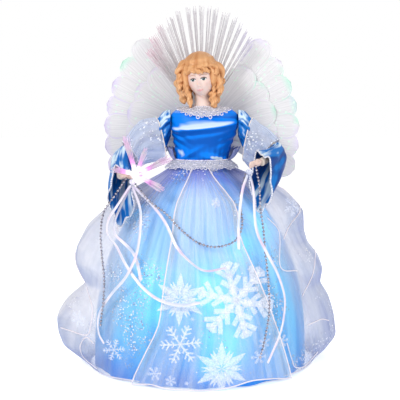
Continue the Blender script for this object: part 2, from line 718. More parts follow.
def bar_places(x, y, radius, turn_deg, bars, pointed):
    """Matrices that lay a unit bar on each bar of the six arms of one flake."""
    places = []
    for arm in range(6):
        turn = math.radians(turn_deg + 60 * arm)
        turned = Matrix.Translation((x, y, 0)) @ Matrix.Rotation(turn, 4, "Z")
        for x0, y0, x1, y1, width, petal in bars:
            if petal == pointed:
                start, end = Vector((x0, y0, 0)) * radius, Vector((x1, y1, 0)) * radius
                along = math.atan2(end.y - start.y, end.x - start.x)
                places.append(turned @ Matrix.Translation((start + end) / 2) @ Matrix.Rotation(along, 4, "Z")
                    @ Matrix.Diagonal(((end - start).length, width * radius, 1, 1)))
    return places


def printed_bars(name, flakes, pointed):
    """All the bars, or all the petals, of some flakes, as one flat sheet."""
    model = primitive(bpy.ops.mesh.primitive_grid_add, x_subdivisions=8, y_subdivisions=2, size=1)
    if pointed:
        for vertex in model.data.vertices:
            vertex.co.y *= 1 - abs(2 * vertex.co.x) ** 1.3
    return copies(name, model, [place for flake in flakes for place in bar_places(*flake, pointed)])


def apron_front(x, z, lift):
    """The place on the apron that lies behind (x, z) in the picture's plane."""
    left, right = apron_sides(z)
    angle = math.asin(x / (bell_radius(z) + organza_inner(z) + 2.6))
    return apron_place((angle - left) / (right - left), z, lift)


def print_on(prints, front):
    """Lay flat prints on front(x, z), and give them the thickness of glitter paste."""
    for vertex in prints.data.vertices:
        vertex.co = front(vertex.co.x, max(vertex.co.y, 3)) * MM
    apply_modifier(prints, "SOLIDIFY", thickness=0.2 * MM, offset=0)
    return fitted(prints, flake_print, "figure", "organza")


prints = joined("printed_snowflakes", [printed_bars("bars", flakes, 0), printed_bars("petals", flakes, 1)])
print_on(prints, lambda x, z: apron_front(x, z, 0.6))

# %% Flounces at the sides
left_bulge = ((0, 0), (0.05, 0.33), (0.11, 0.7), (0.18, 0.86), (0.26, 0.95), (0.33, 0.76),
    (0.41, 0.32), (0.51, 0.73), (0.59, 0.87), (0.7, 0.84), (0.8, 0.62), (0.87, 0.42), (0.95, 0.1), (1, 0))
right_bulge = ((0, 0.15), (0.04, 0.7), (0.1, 0.98), (0.22, 0.92), (0.32, 0.8), (0.39, 0.62),
    (0.46, 0.78), (0.53, 0.76), (0.6, 0.6), (0.66, 0.66), (0.76, 0.97), (0.87, 0.88), (0.93, 0.5), (1, 0))


def flounce(side, edge, bulges, low_deg, high_deg, half_deg):
    def surface(u, v, lift=0.0):
        z = row_height(v, flounce_hem + 3.5 * hump(u, 0.12), cloth_top)
        share = z / skirt_height
        front = math.radians(abs(eased(edge, share)) - 3)
        angle = front + (math.pi - 0.7 / bell_radius(z) - front) * u
        spread = (angle - math.radians(low_deg + (high_deg - low_deg) * share)) / math.radians(half_deg)
        window = math.cos(spread * math.pi / 2) ** 2 if abs(spread) < 1 else 0
        stand = table_at(bulges, share)
        pleat = 2.4 * math.cos(18 * angle) + 1.5 * math.cos(31 * angle + 6 * share)
        pleat = pleat * window * (1 - share) * stand
        crimp = 0.5 * math.cos(57 * angle + 9 * share) * (0.3 + v * v)
        return on_bell(z, side * angle, organza_inner(z) + 45 * stand * window + pleat + crimp + lift)

    return surface


def on_flounce(surface, x, z, lift):
    """The place on the front of a flounce that lies behind (x, z) in the picture's plane."""
    share = clamped((z - flounce_hem) / (cloth_top - flounce_hem))
    v = (row_start - math.sqrt(row_start**2 - 4 * row_bend * share)) / (2 * row_bend)
    widest = max(range(61), key=lambda i: abs(surface(i / 120, v).x)) / 120
    low, high = 0.0, widest
    for _ in range(14):
        middle = (low + high) / 2
        if abs(surface(middle, v).x) < abs(x):
            low = middle
        else:
            high = middle
    return surface(low, v, lift)


left_lines = (
    ((-143, 129), (-136, 107), (-125, 90), (-118, 77), (-119, 59), (-123, 47), (-139, 47), (-156, 48)),
    ((-116, 38), (-124, 44), (-132, 32), (-128, 17), (-114, 7)),
    ((-91, 191), (-94, 174), (-90, 158)))
right_lines = (
    ((134, 128), (127, 103), (114, 85)), ((74, 173), (87, 158), (88, 121), (108, 113)),
    ((121, 51), (139, 52), (149, 47)), ((94, 39), (100, 19), (104, 9), (119, 5), (134, 15)),
    ((91, 212), (108, 201), (115, 177), (101, 162), (93, 149)))
left_flakes = ((-93, 34, 13, 12, fern_bars), (-134, 62, 9, 20, fern_bars))
right_flakes = ((106, 182, 12, 20, fern_bars), (88, 42, 8, 5, fern_bars))
for name, side, surface, lines, side_flakes in (
    ("left", -1, flounce(-1, apron_left, left_bulge, 82, 100, 42), left_lines, left_flakes),
    ("right", 1, flounce(1, apron_right, right_bulge, 112, 108, 46), right_lines, right_flakes),
):
    sheet = cloth("organza_flounce_" + name + "_cloth", 80, 64, surface, 0.35, 1)
    fitted(sheet, flounce_gauze, "figure", "organza", "organza_flounce_" + name)
    hems = [[surface(u / 60, 0, 0.2) for u in range(61)]]
    for line in lines:
        flat = [Vector((x, 0, z)) for x, z in line]
        steps = 8 * len(line)
        places = [curve_point(flat, i / steps) for i in range(steps + 1)]
        hems.append([on_flounce(surface, place.x, place.z, 0.5) for place in places])
    hem = fitted(tubes("flounce_hem_" + name, hems, 0.6, 6), rolled_white, "figure", "organza")
    prints = print_on(printed_bars("printed_flakes_" + name, side_flakes, 0),
        lambda x, z: on_flounce(surface, x, z, 0.5))


# %% [markdown]
# ## Bodice
# The bodice is one shiny satin tube pulled over the torso. A roll of cloth lies across the
# chest and catches the light as one pale band, and small tucks gather it at the waist.

# %% Bodice
bodice_low, bodice_tall, bodice_half_wide, bodice_half_deep = 231, 59, 37.6, 25
bodice_wide = (
    (0, 0.77), (0.15, 0.78), (0.35, 0.85), (0.6, 0.96), (0.76, 1), (0.87, 1), (0.95, 1.02), (1, 0.7))
bodice_deep = (
    (0, 0.8), (0.15, 0.84), (0.35, 0.92), (0.58, 1.07), (0.66, 1.1), (0.76, 1), (0.87, 0.86), (0.95, 0.72),
    (1, 0.6))
neck_x = 4.5
bodice_x = ((0, 0.05), (0.4, 0.09), (0.6, 0.13), (1, 0.13))
bodice_y = ((0, 0), (0.4, -0.02), (0.65, -0.1), (0.87, -0.08), (1, -0.24))


def bodice_at(share, angle, lift):
    rx = bodice_half_wide * eased(bodice_wide, share) + lift
    ry = bodice_half_deep * eased(bodice_deep, share) + lift
    x = bodice_half_wide * table_at(bodice_x, share) + rx * math.sin(angle)
    y = bodice_half_deep * table_at(bodice_y, share) - ry * math.cos(angle)
    rise = 2 * max(0, (share - 0.9) / 0.1) * math.sin(angle) ** 2
    return Vector((x, y, bodice_low + bodice_tall * share + rise))


def bodice_point(u, v):
    angle = u * 2 * math.pi
    front = max(math.cos(angle), 0)
    side = math.sin(angle)
    line = 0.7 + 0.07 * side
    roll = 2.6 * front**0.6 * hump(v - line, 0.05) - 1.6 * front * hump(v - line + 0.11, 0.05)
    roll += 1.1 * front**0.5 * hump(v - 0.33 - 0.3 * side, 0.045) * hump(side + 0.5, 0.4)
    roll += 1.4 * front * hump(v - 0.17 + 0.06 * side, 0.05) * hump(side - 0.35, 0.35)
    roll += 0.9 * front * hump(v - 0.92 - 0.1 * side, 0.04)
    tucks = 0.8 * math.cos(26 * angle + 3 * math.sin(2 * angle)) * (1 - v) ** 4
    drag = 0.8 * math.sin(44 * (v - 0.3 * abs(side)) + 3 * side) * abs(side) ** 2 * hump(v - 0.5, 0.25)
    belly = 0.8 * front * hump(v - 0.12, 0.07) * math.sin(5 * angle + 0.6)
    return bodice_at(v, angle, 0.1 + roll + tucks + drag + belly)


def bodice_light(place):
    """A lighter or deeper level for the satin: the band, the pale spots and the shaded top."""
    share, side = (place.z - bodice_low) / bodice_tall, (place.x - neck_x) / 36
    if place.y > 0:
        return (0.5, 0.5, 0.5, 1)
    line = 0.7 + 0.07 * side
    level = 0.42 + 0.42 * hump(share - line, 0.06) * (1 - 0.2 * abs(side))
    level += 1.5 * hump(share - 0.14 + 0.06 * side, 0.035) * hump(side - 0.4, 0.24)
    level += 0.55 * hump(share - 0.24, 0.1) * hump(side + 0.72, 0.16)
    level += 0.3 * hump(share - 0.38, 0.16) * hump(side - 0.5, 0.12)
    level -= 0.12 * hump(share - line + 0.11, 0.05)
    level -= 0.1 * clamped((share - 0.8) * 20)
    return (level, level, level, 1)


bodice = cloth("satin_bodice", 96, 48, bodice_point, 0.7, 1)
painted(bodice, bodice_light)
fitted(bodice, bodice_satin, "figure", "blue_satin", "bodice")

# %% [markdown]
# ## Arms and sleeves
# Each arm is a bent stuffed tube. Over it come a satin puff at the shoulder, a sheer organza
# balloon and a satin cuff that opens into a long bell. The sleeves are rings strung on the
# arm's curve, so they bend with it and stay round it.

# %% Arm curves
arm_reach, shoulder_height = 52, 276
# Places along an arm as shares of its reach, from the shoulder: outwards, back and up.
puff_mouth = (0.21, -0.1, -0.26)
arms = {
    "left": dict(
        side=-1, x=-33.3, middle=(0.54, -0.15, -0.42), sag=1, balloon=23,
        path=((0.006, 0, 0), (0.22, -0.04, -0.08), (0.62, -0.15, -0.36), (1, -0.31, -0.63),
            (1.05, -0.69, -0.88), (1, -1, -1.05))),
    "right": dict(
        side=1, x=43.3, middle=(0.44, -0.15, -0.4), sag=-8, balloon=25,
        path=((0.006, 0, 0), (0.2, -0.04, -0.08), (0.5, -0.15, -0.3), (0.8, -0.31, -0.55),
            (0.66, -0.69, -0.66), (0.44, -1, -0.76))),
}


def arm_place(arm, shares):
    out, back, up = shares
    x = arm["x"] + arm["side"] * arm_reach * out
    return Vector((x, arm_reach * back, shoulder_height + arm_reach * up))


for arm in arms.values():
    arm["curve"] = [arm_place(arm, shares) for shares in arm["path"]]


def arm_frame(arm, t):
    along = curve_tangent(arm["curve"], t)
    level = Vector((0, 0, 1)).cross(along).normalized()
    return curve_point(arm["curve"], t), level, along.cross(level).normalized(), along


def ringed(rings, pleats, depth):
    """A sleeve through oval rings of (centre, half axis, half axis), with uneven pleats."""
    def surface(u, v):
        angle = u * 2 * math.pi
        centre, a, b = (curve_point([ring[i] for ring in rings], v) for i in range(3))
        wave = math.cos(pleats * angle + 1.2 * math.sin(2 * angle))
        wave += 0.4 * math.cos((2 * pleats + 3) * angle + 4 * v)
        pleat = 1 + depth * wave * (0.35 + 0.65 * v)
        return centre + a * math.cos(angle) * pleat + b * math.sin(angle) * pleat

    return surface


def puff_rings(arm):
    out = arm["side"]
    start = Vector((arm["x"] - out * 0.5, 0, shoulder_height + 0.5))
    mouth = arm_place(arm, puff_mouth)
    return [(start, Vector((0, 12, 0)), Vector((0, 0, 14.5))),
        ((start + mouth) / 2 + Vector((0, 0, 1)), Vector((0, 13.4, 0)), Vector((out * 1.8, 0, 17.6))),
        (mouth, Vector((0, 11, 0)), Vector((out * 3, 0, 17.5)))]


def organza_rings(arm):
    out = arm["side"]
    start = arm_place(arm, puff_mouth) + Vector((out * -0.6, 0, -4))
    middle = arm_place(arm, arm["middle"]) + Vector((0, 0, arm["sag"]))
    centre, level, up, _ = arm_frame(arm, 0.54)
    level = -level if level.y < 0 else level
    return [(start, Vector((out * 3.5, 12.4, 0)), Vector((out * 5, 0, 24))),
        (middle, Vector((0, 12.8, 0)), Vector((out * 5.5, 0, arm["balloon"]))),
        (centre - up * 6, level * 13, up * 15)]


def bell_surface(arm):
    def surface(u, v, grow=0.0):
        angle = u * 2 * math.pi
        centre, level, up, _ = arm_frame(arm, 0.55 + 0.45 * v)
        upright = up.lerp(Vector((0, 0, 1)), v).normalized()
        wide = 9.5 + 3.5 * v**0.8
        high = 9.5 + 21.5 * v
        fold = 1 + 0.09 * (0.3 + v) * math.cos(5 * angle + 2.5 * v) + 0.03 * math.cos(11 * angle - 3 * v)
        return (centre + upright * (math.sin(angle) * (high * fold + grow) - (high - 6.5 - 3.5 * v))
            + level * math.cos(angle) * (wide * fold + grow))

    return surface


print({name: [tuple(round(c) for c in arm["curve"][-1])] for name, arm in arms.items()})

# %% Sleeves
# Stuffed cotton is matt and lumpy. Metallic yarn is pale, with darker gaps between its turns.
wadding, _, _ = grained("stuffed cotton arm", "#DCCFC4", 300.0, relief=(0.3, 0.0004), Roughness=0.9)
silver_braid, _, _ = grained(
    "silver braid", "#DDE0EA", 800.0, ((0.4, "#AEB6CC"), (0.55, "#F8F8FC")), Metallic=0.2, Roughness=0.4)


def braid(name, path, radius):
    """Three threads twisted round a path, which is what a narrow metallic trim is."""
    turns_per_mm = 0.35
    whole = length_of(path)
    middle = sum(path, Vector()) / len(path)
    axis = sum(((a - middle).cross(b - middle) for a, b in zip(path, path[1:])), Vector()).normalized()
    threads = []
    for k in range(3):
        points = []
        for i, place in enumerate(path):
            ahead = (path[min(i + 1, len(path) - 1)] - path[max(i - 1, 0)]).normalized()
            first = ahead.cross(axis).normalized()
            turn = 2 * math.pi * (whole * i / (len(path) - 1) * turns_per_mm + k / 3)
            points.append(place + (first * math.cos(turn) + ahead.cross(first) * math.sin(turn)) * radius)
        threads.append(points)
    return tubes(name, threads, radius * 0.75, 4)


for side, arm in arms.items():
    body = side + "_arm"
    path = [curve_point(arm["curve"], i / 40) for i in range(41)]
    padding = tubes("arm_padding_" + side, [path], 4.4, 12)
    fitted(padding, wadding, body, "stuffed_arm", "arm_" + side)
    puff = cloth("satin_puff_" + side, 72, 14, ringed(puff_rings(arm), 7, 0.12), 0.5, 1)
    fitted(puff, sleeve_satin, body, "blue_satin", "puff_sleeve_" + side)
    balloon_point = ringed(organza_rings(arm), 9, 0.07)
    balloon = cloth("organza_balloon_" + side, 72, 20, balloon_point, 0.3, 1)
    fitted(balloon, sleeve_gauze, body, "organza", "organza_sleeve_" + side)
    seam = [balloon_point(u / 72, 0.01) for u in range(73)]
    fitted(tubes("organza_seam_" + side, [seam], 0.6, 6), cream_edge, body, "organza")
    edge = [balloon_point(u / 72, 0.99) for u in range(73)]
    fitted(braid("organza_edge_" + side, edge, 0.55), silver_braid, body, "silver_lace")
    shell = bell_surface(arm)
    cuff = cloth("satin_bell_" + side, 72, 24, shell, 0.6, 1)
    fitted(cuff, sleeve_satin, body, "blue_satin", "bell_sleeve_" + side)
    rim = [shell(u / 90, 1, 0.3) for u in range(91)]
    fitted(braid("bell_edge_" + side, rim, 0.7), silver_braid, body, "silver_lace")

# %% [markdown]
# ## Hands
# The CAD hand has the right fingers but hard facets. A copy is merged, remeshed with fine
# voxels and relaxed, which turns it into soft vinyl without moving it.

# %% Vinyl skin and hands
# Moulded vinyl with matt paint: light goes a little way in, which softens the shadows.
skin, shader, add = new_material("painted vinyl skin", "#EBD6D0", Roughness=0.42, Subsurface_Weight=0.15,
    Subsurface_Radius=(0.004, 0.002, 0.001), Subsurface_Scale=0.5)
drive(shader, Base_Color=add("VertexColor", layer_name="paint"))

for side in arms:
    source = bpy.data.objects["hand_" + side]
    hand = source.copy()
    hand.data = source.data.copy()
    hand.name = "vinyl_hand_" + side
    bpy.context.scene.collection.objects.link(hand)
    merged(hand, outward=False)
    apply_modifier(hand, "REMESH", mode="VOXEL", voxel_size=0.0004)
    apply_modifier(hand, "SMOOTH", factor=0.5, iterations=6)
    painted(hand, lambda place: colour("#EBCFC4"))
    smooth(hand, 180)
    fitted(hand, skin, side + "_arm", "skin", "hand_" + side)

# %% [markdown]
# ## Head and face
# The doll's face is calm and plain. It is a fine ball whose points are pushed out for brow,
# nose, cheeks, lips and chin. Eyes, brows and lips are paint on the real doll, so they are
# paint here too: a colour stored at each point.

# %% Head shape
head_at, head_half, head_turn = Vector((1, -14, 328)), Vector((15.5, 18, 22)), math.radians(-9)
turn_head = Matrix.Rotation(head_turn, 3, "Z") @ Matrix.Rotation(math.radians(-7), 3, "Y")


def both_sides(x, off, spread):
    return hump(x - off, spread) + hump(x + off, spread)


def head_point(d):
    """A point of the head from its direction: a ball, pushed out or in at each feature."""
    x, z, front = d.x, d.z, max(0, -d.y)
    jaw = 1 - 0.2 * max(0, -z) ** 2
    muzzle = 4.6 * hump(x, 0.42) * hump(z + 0.7, 0.3) * front**0.4
    nose = 3.4 * hump(x, 0.1 + 0.05 * max(0, -z)) * hump(z + 0.42, 0.13)
    bridge = 1.5 * hump(x, 0.09) * hump(z + 0.2, 0.2)
    nostril = 0.9 * both_sides(x, 0.14, 0.07) * hump(z + 0.47, 0.07)
    socket = -1.5 * both_sides(x, 0.36, 0.17) * hump(z + 0.12, 0.11)
    lid = 0.9 * both_sides(x, 0.36, 0.12) * hump(z + 0.14, 0.07)
    lips = 1.1 * hump(x, 0.2) * (hump(z + 0.66, 0.035) + 1.1 * hump(z + 0.735, 0.035))
    chin = 1.5 * hump(x, 0.2) * hump(z + 0.9, 0.12)
    cheek = 0.9 * both_sides(x, 0.5, 0.2) * hump(z + 0.42, 0.22)
    push = muzzle + (nose + bridge + nostril + socket + lid + lips + cheek) * front + chin * front**0.3
    return Vector((x * jaw * head_half.x, d.y * head_half.y - push, z * head_half.z))


def face_paint(place):
    """Cheeks, eyes, brows, nostrils and lips, painted one over the other on the skin."""
    local = turn_head.inverted() @ (place - head_at)
    x, z = local.x, local.z
    base = Vector(colour("#E8D0C8")[:3])

    def over(code, share):
        nonlocal base
        base = base.lerp(Vector(colour(code)[:3]), clamped(share))

    if local.y < -4:
        for side in (-1, 1):
            e = x - side * 6.0 + 0.8
            over("#E8B9AE", 0.4 * hump(e - side * 2.6, 3.2) * hump(z + 9, 3))
            over("#D9A89A", 0.5 * hump(e, 3.2) * hump(z + 1.2, 1.3))
            over("#F4F3F4", 4 * (1 - (e / 3.2) ** 2 - ((z + 3.1) / 1.7) ** 2))
            over("#14606A", 4 * (1 - (e / 1.95) ** 2 - ((z + 2.9) / 1.85) ** 2))
            over("#041C26", 4 * (1 - (e / 1.3) ** 2 - ((z + 2.8) / 1.35) ** 2))
            over("#2A1A18", 1.8 - abs(z + 1.5 + 0.11 * e * e) / 0.42 if abs(e) < 3.4 else 0)
            over("#9A6A58", 0.8 - abs(z + 4.6 - 0.1 * e * e) / 0.25 if abs(e) < 2.6 else 0)
            over("#B9825F", 1.1 - abs(z - 1.9 + 0.05 * (e - side * 0.6) ** 2) / 0.6 if abs(e) < 3.8 else 0)
            over("#FFFFFF", 3 * (1 - ((e + 0.6) / 0.4) ** 2 - ((z + 2.3) / 0.4) ** 2))
            over("#C99A8C", 1 - math.hypot((x - side * 1.3) / 0.5, (z + 10.9) / 0.35))
        bow = 0.5 * math.cos(x * 1.5) if abs(x) < 2 else 0.3
        corner = 0.06 * x * x
        over("#E8A8A6", 3 * (1 - (x / 3.9) ** 2 - ((z + 14.9 - corner) / (1.0 + bow)) ** 2))
        over("#C48080", 0.8 - abs(z + 15.2 - corner) / 0.24 if abs(x) < 3.4 else 0)
    return (*base, 1)


face = primitive(bpy.ops.mesh.primitive_uv_sphere_add, segments=224, ring_count=150, radius=1)
for vertex in face.data.vertices:
    vertex.co = (turn_head @ head_point(vertex.co.normalized()) + head_at) * MM
neck_low, neck_tall, neck_y = 284.5, 32.5, -8
# Heights and radii of the neck.
neck_rows = [(neck_low, 15), (286, 12.4), (291, 9.4), (298, 7.9), (306, 7.5), (317, 7.6)]


def neck_point(u, v):
    r = curve_point([Vector((radius, height, 0)) for height, radius in neck_rows], v).x
    angle = 2 * math.pi * u
    lean = max(0, v - 0.3) * -4
    x = neck_x + lean + r * math.sin(angle)
    y = neck_y - 0.85 * r * math.cos(angle) + 0.4 * lean
    return Vector((x, y, neck_low + neck_tall * v))


neck = cloth("vinyl_neck", 48, 20, neck_point, 1.2, 0)
head = joined("vinyl_head", [face, neck])
painted(head, face_paint)
smooth(head, 180)
fitted(head, skin, "figure", "skin", "head")


# %% [markdown]
# ## Hair
# The doll's hair is moulded: a smooth crown, a rolled fringe and fat ringlets. The cap is a
# ball that sinks below the skin where the face shows, which gives a rounded hairline. Each
# ringlet is a wrapped grid with a spiral ridge, like a real curl.

# %% Hair material
# Painted vinyl: long streaks along each lock, a browner crown, and dark hollows between curls.
moulded_hair, shader, add = new_material("moulded hair", "#E0A066", Roughness=0.42)
place = add("TexCoord")
uv = add("UVMap", uv_map="UVMap")
stretched = add("Mapping", {"Vector": uv, "Scale": (34.0, 2.0, 1.0)})
locks = add("TexNoise", {"Vector": stretched, "Scale": 1.0, "Detail": 4.0, "Distortion": 0.6})
tone = add("ValToRGB", {"Fac": locks}, stops=((0.3, "#C4834E"), (0.5, "#E2A56E"), (0.75, "#F6C794")))
high_up = add("SeparateXYZ", {0: place})
crown = add("MapRange", {"Value": high_up.outputs["Z"], "From Min": 0.336, "From Max": 0.354, "To Max": 0.6})
browner = add("Mix", {0: crown, 6: tone, 7: colour("#B97A44")}, data_type="RGBA")
hollow = add("AmbientOcclusion", {"Distance": 0.005}, samples=6)
deep = add("Mix", {0: hollow, 6: colour("#AE6A3C"), 7: browner}, data_type="RGBA")
bump = add("Bump", {"Height": locks, "Strength": 0.55, "Distance": 0.0012})
drive(shader, Base_Color=deep, Normal=bump)

# %% Cap and fringe
hair_at, hair_half = Vector((0, -11, 330)), Vector((24, 23, 26))


def cap_point(d):
    """The hair's shell from its direction: it sinks below the skin at the face and the throat."""
    local = turn_head.inverted() @ d
    front = max(0, -local.y)
    fringe_line = 0.2 + 0.035 * math.sin(15 * local.x) + 0.1 * local.x
    face_side = 1 - (local.x / 0.7) ** 2
    window = clamped((fringe_line - local.z) * 9) * clamped(face_side * 4) * min(1, front * 6)
    throat = clamped((-0.62 - local.z) * 8)
    band = 0.05 * hump(local.z - 0.7 + 0.12 * front, 0.07)
    band -= 0.035 * hump(local.z - 0.58 + 0.12 * front, 0.05)
    strands = 0.01 * math.sin(22 * math.atan2(local.x, local.z + 0.4) + 5 * local.y) * (0.3 + front)
    below_band = hump(local.z - 0.38, 0.16) * front
    strands += 0.026 * below_band * math.sin(26 * local.x + 7 * math.sin(13 * local.z))
    roll = 0.06 * hump(local.z - fringe_line - 0.08, 0.09) * front**0.5 * max(0, face_side)
    out = 1 + band * min(1, 0.3 + 1.5 * front) + strands + roll
    sunk = 0.56
    share = max(window, throat)
    r = out + (sunk - out) * (3 * share**2 - 2 * share**3)
    return Vector((d.x * hair_half.x * 0.92, d.y * hair_half.y, d.z * hair_half.z)) * r + hair_at


cap = primitive(bpy.ops.mesh.primitive_uv_sphere_add, segments=160, ring_count=110, radius=1)
cap.data.uv_layers[0].name = "UVMap"
for vertex in cap.data.vertices:
    vertex.co = cap_point(vertex.co.normalized()) * MM


def ringlet(path, size, turns, phase=0.0):
    """A fat curl: a tube that swells in the middle, with a ridge that spirals down it."""
    points = [Vector(place) for place in path]

    def surface(u, v):
        centre = curve_point(points, v)
        along = curve_tangent(points, v)
        first = along.cross(Vector((0, 1, 0.2))).normalized()
        second = along.cross(first)
        angle = 2 * math.pi * u
        swell = size * max(math.sin(math.pi * v), 0) ** 0.28 * (1 - 0.15 * v)
        ridge = 1 + 0.26 * math.cos(2 * angle - 2 * math.pi * 1.5 * turns * v + phase)
        return centre + (first * math.cos(angle) + second * math.sin(angle)) * swell * ridge

    return cloth("ringlet", 20, 24, surface, 0, 1)


# Each curl: its route in millimetres, its radius, and its turns.
curls = [
    ringlet(path, size, turns, i * 1.7) for i, (path, size, turns) in enumerate((
        (((-13, -17, 343), (-19, -17, 340), (-23, -16, 335), (-24.5, -16, 329)), 5.6, 0.6),
        (((-19, -17, 331), (-22, -17, 325), (-23, -16, 319), (-20.5, -15, 313.5)), 5.8, 1.4),
        (((-15.5, -14, 324), (-17.4, -14, 316), (-17.6, -13, 305)), 3.8, 2.2),
        (((-17.5, -17, 324), (-14.8, -19, 314), (-11.8, -17.6, 304), (-10.2, -16.6, 293)), 3.6, 2.4),
        (((-16.6, -20, 331), (-16.2, -20.5, 323), (-14.8, -20, 315)), 2.2, 2.0),
        (((8, -29, 338), (13, -27.5, 340.5), (17.5, -25, 337), (16.8, -25.5, 332), (12.6, -27, 331.5)),
            3.0, 2.2),
        (((15, -15, 345), (21.5, -13, 338), (23.2, -12.5, 330), (24.4, -12.5, 323.5), (28, -13, 321.6)),
            4.6, 1.2),
        (((19, -19, 332), (20, -19, 323), (21.5, -17, 314), (18.6, -15, 306)), 5.0, 2.0),
        (((16.2, -20.5, 329), (15.2, -20.5, 318), (15, -19, 308)), 2.7, 2.2),
        (((12.6, -19, 313), (14.6, -18, 304), (15.6, -16.5, 293)), 4.8, 1.8),
        (((-13.5, -25, 336), (-9, -30, 334.6), (-4, -33.4, 332.6)), 2.6, 1.4),
        (((-6, -32, 336), (-1, -34, 333.4), (4, -33.6, 333.2)), 2.7, 1.4),
        (((1, -33, 337.5), (6, -32.4, 335.2), (11.2, -29, 333)), 2.8, 1.6),
        (((-11, -27, 339), (-14.4, -24.5, 334), (-13.6, -24.5, 329.5)), 2.5, 1.6),
        (((-19, -6, 334), (-22, -3, 322), (-20, -3, 308), (-17, -4, 297)), 5.2, 2.2),
        (((-11, 6, 332), (-13, 6, 316), (-12, 4, 298)), 5.2, 2.4),
        (((-2, 9, 334), (-2.5, 5.5, 316), (-2, 2.5, 298)), 5.0, 2.4),
        (((8, 8, 332), (10, 6, 316), (10, 3.5, 298)), 5.2, 2.4),
        (((18, -6, 334), (21, -4, 322), (19.5, -4, 308), (17.5, -5, 297)), 5.2, 2.2),
    ))
]
hair = joined("moulded_hair_and_ringlets", [cap, *curls])
smooth(hair, 180)
fitted(hair, moulded_hair, "figure", "doll_hair", "hair")

# %% [markdown]
# ## Lace
# The collar and the waist have a crocheted silver trim: a braided heading with scallops of
# thread loops. One loop is modelled as a small torus, pulled a little oval, and copied along
# each scallop.

# %% Lace trims
# Yarn wrapped in silver foil: white where it faces the lamps, lilac grey in its turns.
silver_lace, _, _ = grained(
    "silver thread lace", "#E4E6EE", 900.0, ((0.36, "#A9ABC2"), (0.52, "#FAF6FA")),
    Metallic=0.12, Roughness=0.4)


yarn_radius = 0.42


def lace(name, frame_at, count, rows, ripples, loop, node):
    """Loops in scallops on frame_at(u, v), which gives a place and its outward direction."""
    model = primitive(bpy.ops.mesh.primitive_torus_add,
        major_segments=10, minor_segments=4, major_radius=loop * MM, minor_radius=yarn_radius * MM)
    places = []
    for i in range(count):
        u = (i + 0.5) / count
        scallop = 0.5 + 0.5 * math.cos(2 * math.pi * ripples * u)
        for row in range(rows):
            v = (row + 0.5) / rows + (0.1 * scallop if row == rows - 1 else 0)
            grow = 0.95 + 0.2 * row / rows
            centre, outward, along, down = frame_at(u + 0.5 * (row % 2) / count, v)
            turn = Matrix((along, down, outward)).transposed().to_4x4()
            lean = Matrix.Rotation(0.5 * math.sin(i * 2.4 + v * 9), 4, "X")
            oval = Matrix.Diagonal((grow, grow * 1.15, grow, 1))
            places.append(Matrix.Translation((centre + outward * 0.6) * MM) @ turn @ lean @ oval)
    loops = copies(name + "_loops", model, places)
    heading = braid(name + "_heading", [frame_at(u / 140, 0.0)[0] for u in range(141)], 0.6)
    return fitted(joined(name, [loops, heading]), silver_lace, "figure", "silver_lace", node)


# The net under the loops: fine threads round holes of about 1.6 mm, and nearly clear between.
lace_net, shader, add = new_material("lace net", "#DADBE8", Roughness=0.6)
holes = add("TexVoronoi", {"Vector": add("TexCoord"), "Scale": 620.0}, feature="DISTANCE_TO_EDGE")
cover = add("MapRange", {"Value": holes, "From Min": 0.05, "From Max": 0.2, "To Min": 0.75, "To Max": 0.1})
drive(shader, Alpha=cover)


def frame_from(point):
    """Turn point(u, v) into a place with its normal and its two directions in the surface."""
    def at(u, v):
        here = point(u, v)
        along = (point(min(u + 0.002, 1), v) - point(max(u - 0.002, 0), v)).normalized()
        down = (point(u, min(v + 0.02, 1)) - point(u, max(v - 0.02, 0))).normalized()
        return here, down.cross(along).normalized() * -1, along, down

    return at


def collar_point(u, v):
    gap = math.radians(32)
    angle = -math.pi + gap + (2 * math.pi - 2 * gap) * u
    r = 15.5 + 14.8 * v
    z = 295 - (10.4 - 8.2 * math.sin(angle) ** 2) * v**1.25 + 0.6 * v * math.cos(16 * angle)
    return Vector((neck_x + r * math.sin(angle), -4.75 - r * 0.82 * math.cos(angle), z))


def round_waist(r, angle, z):
    """A place round the waist, which is an oval that stands a little to the right."""
    return Vector((2 + r * math.sin(angle), -r * 0.77 * math.cos(angle), z))


def waist_point(u, v):
    angle = u * 2 * math.pi
    r = 31.6 + 9.4 * v
    z = 235.7 - 8 * v + 0.96 * v * math.cos(10 * angle)
    return round_waist(r, angle, z)


lace("collar_of_silver_lace", frame_from(collar_point), 34, 5, 11, 1.5, "collar_lace")
lace("waist_of_silver_lace", frame_from(waist_point), 64, 4, 16, 1.5, "waist_lace")


def heading_point(u, v):
    """The organza's own heading, a frill that stands up behind the waist trim."""
    angle = math.radians(62 + 236 * u)
    pleat = (0.3 + v) * (1.3 * math.cos(30 * angle) + 0.7 * math.cos(47 * angle + 2))
    side = math.sin(angle)
    r = 30.6 + (6.4 + 2 * side + 3.6 * side**4) * v**0.5 + pleat
    z = 234.5 + (12 + 2.5 * side**4) * v + 0.8 * pleat * v
    return round_waist(r, angle, z)


heading_gauze = gauze(
    "heading organza", ("#6E78B8", "#A0AADC", "#E0E2F6"), "#A0AADC", 0.72, 100, 12, 40.0, 0.05)
fitted(cloth("organza_heading", 150, 8, heading_point, 0.3), heading_gauze, "figure", "organza")
for name, point in (("collar_net", collar_point), ("waist_net", waist_point)):
    fitted(cloth(name, 90, 8, point, 0.3, 0), lace_net, "figure", "silver_lace")

# %% [markdown]
# ## Wings
# The wings are petals of iridescent film in two layers. Long ribs are pressed into each one,
# the rims turn mint and lilac with the film's thickness, and fine glitter is scattered on it.

